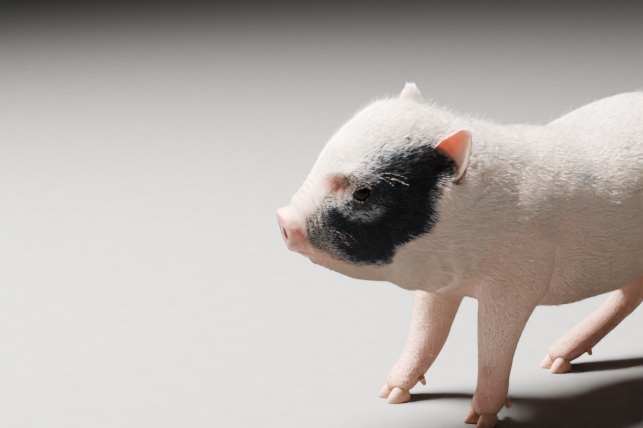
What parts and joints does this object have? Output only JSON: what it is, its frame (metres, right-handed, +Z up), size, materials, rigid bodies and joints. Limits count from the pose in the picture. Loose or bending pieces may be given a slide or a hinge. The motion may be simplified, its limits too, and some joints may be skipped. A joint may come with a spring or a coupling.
{
  "type": "miniature pig",
  "caption": "Life-size standing piglet with short white coat, dark cheek patches, pink snout disc, cupped ears, slim legs, split hooves and a short curved tail.",
  "frame": {"origin": "on the floor, under the middle of the bounding box", "axes": "+Z up, -X the way the pig's body faces, -Y towards its left side"},
  "size_m": [0.3828, 0.1198, 0.2186],
  "materials": {
    "skin_white": "pale pink skin under short white hair",
    "skin_patched": "pale pink skin with a black patch round each eye and cheek, under short hair",
    "ear_pink": "thin pink ear skin with fine white hair",
    "eye_dark": "glossy, dark brown iris with a black pupil",
    "claw_horn": "pale pink-tan horn, satin"
  },
  "bodies": {
    "root": {"head": "skin_patched", "neck": "skin_white", "torso": "skin_white", "tail": "skin_white", "foreleg_left": "skin_white", "foreleg_right": "skin_white", "hindleg_left": "skin_white", "hindleg_right": "skin_white", "ear_left": "ear_pink", "ear_right": "ear_pink", "eye_left": "eye_dark", "eye_right": "eye_dark", "claw_foreleg_left_left": "claw_horn", "claw_foreleg_left_right": "claw_horn", "claw_foreleg_right_left": "claw_horn", "claw_foreleg_right_right": "claw_horn", "claw_hindleg_left_left": "claw_horn", "claw_hindleg_left_right": "claw_horn", "claw_hindleg_right_left": "claw_horn", "claw_hindleg_right_right": "claw_horn", "dewclaw_foreleg_left_left": "claw_horn", "dewclaw_foreleg_left_right": "claw_horn", "dewclaw_foreleg_right_left": "claw_horn", "dewclaw_foreleg_right_right": "claw_horn", "dewclaw_hindleg_left_left": "claw_horn", "dewclaw_hindleg_left_right": "claw_horn", "dewclaw_hindleg_right_left": "claw_horn", "dewclaw_hindleg_right_right": "claw_horn"}
  },
  "joints": []
}
